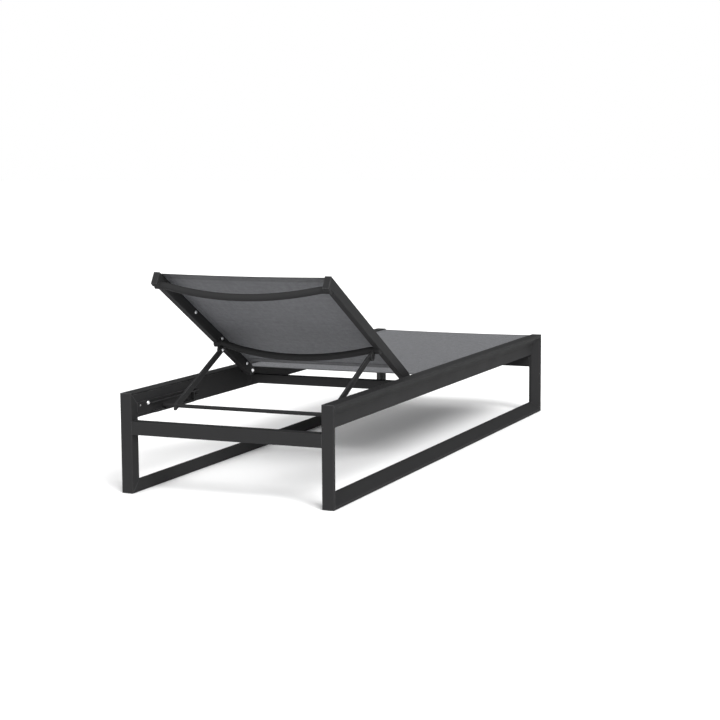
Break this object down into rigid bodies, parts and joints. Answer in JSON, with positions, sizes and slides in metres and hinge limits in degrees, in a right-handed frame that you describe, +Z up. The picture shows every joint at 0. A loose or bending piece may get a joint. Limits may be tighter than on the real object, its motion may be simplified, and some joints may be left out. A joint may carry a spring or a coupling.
{
  "type": "reclining sun lounger",
  "caption": "Low garden sun lounger: sling seat and sling backrest on a dark metal frame, the backrest raised in steps by a rear prop.",
  "frame": {"origin": "on the ground, at the middle of the lounger's length and width", "axes": "+Z up, +Y from the foot end towards the head end, +X towards the lying person's left side"},
  "size_m": [0.7, 2, 0.6608],
  "materials": {
    "coat": "satin",
    "rack": "satin",
    "steel": "satin",
    "black_plastic": "matte",
    "sling": "matte",
    "keder": "matte"
  },
  "bodies": {
    "frame": {"head_leg_left": "coat", "head_leg_right": "coat", "foot_leg_left": "coat", "foot_leg_right": "coat", "runner_left": "coat", "runner_right": "coat", "side_rail_left": "coat", "side_rail_right": "coat", "head_crossbar": "coat", "middle_crossbar": "coat", "foot_crossbar": "coat", "seat_sling": "sling", "seat_keder_left": "keder", "seat_keder_right": "keder", "floor_glides": "black_plastic", "hinge_bolt_left": "steel", "hinge_bolt_right": "steel", "hinge_nut_left": "steel", "hinge_nut_right": "steel", "hinge_spacer_left": "black_plastic", "hinge_spacer_right": "black_plastic", "rack_plate_left": "rack", "rack_plate_right": "rack", "rack_guard_left": "rack", "rack_guard_right": "rack", "rack_teeth_left": "rack", "rack_teeth_right": "rack", "rack_stop_left": "rack", "rack_stop_right": "rack", "rack_fasteners_left": "steel", "rack_fasteners_right": "steel"},
    "backrest": {"back_rail_left": "coat", "back_rail_right": "coat", "back_rail_cap_left": "coat", "back_rail_cap_right": "coat", "hinge_knuckle_left": "coat", "hinge_knuckle_right": "coat", "hinge_bush_left": "black_plastic", "hinge_bush_right": "black_plastic", "upper_back_bar": "coat", "lower_back_bar": "coat", "back_bar_plugs": "black_plastic", "back_sling": "sling", "back_keder_left": "keder", "back_keder_right": "keder", "sling_screws_left": "steel", "sling_screws_right": "steel", "sling_screw_washers_left": "black_plastic", "sling_screw_washers_right": "black_plastic", "prop_lug_left": "coat", "prop_lug_right": "coat", "prop_pin_left": "steel", "prop_pin_right": "steel", "prop_pin_nut_left": "black_plastic", "prop_pin_nut_right": "black_plastic"},
    "prop": {"prop_strut_left": "coat", "prop_strut_right": "coat", "prop_bush_left": "black_plastic", "prop_bush_right": "black_plastic", "prop_rod": "coat"}
  },
  "joints": [
    {"name": "backrest_recline", "type": "hinge", "parent": "frame", "child": "backrest", "pos_m": [0, 0.278, 0.289], "axis": [1, 0, 0], "range_deg": [-30.3, 31.7]},
    {"name": "prop_swing", "type": "hinge", "parent": "backrest", "child": "prop", "pos_m": [0, 0.51906, 0.38585], "axis": [1, 0, 0], "range_deg": [-57, 55]}
  ],
  "couplings": [
    {"joint": "prop_swing", "follows": "backrest_recline", "ratio": -1.79}
  ]
}
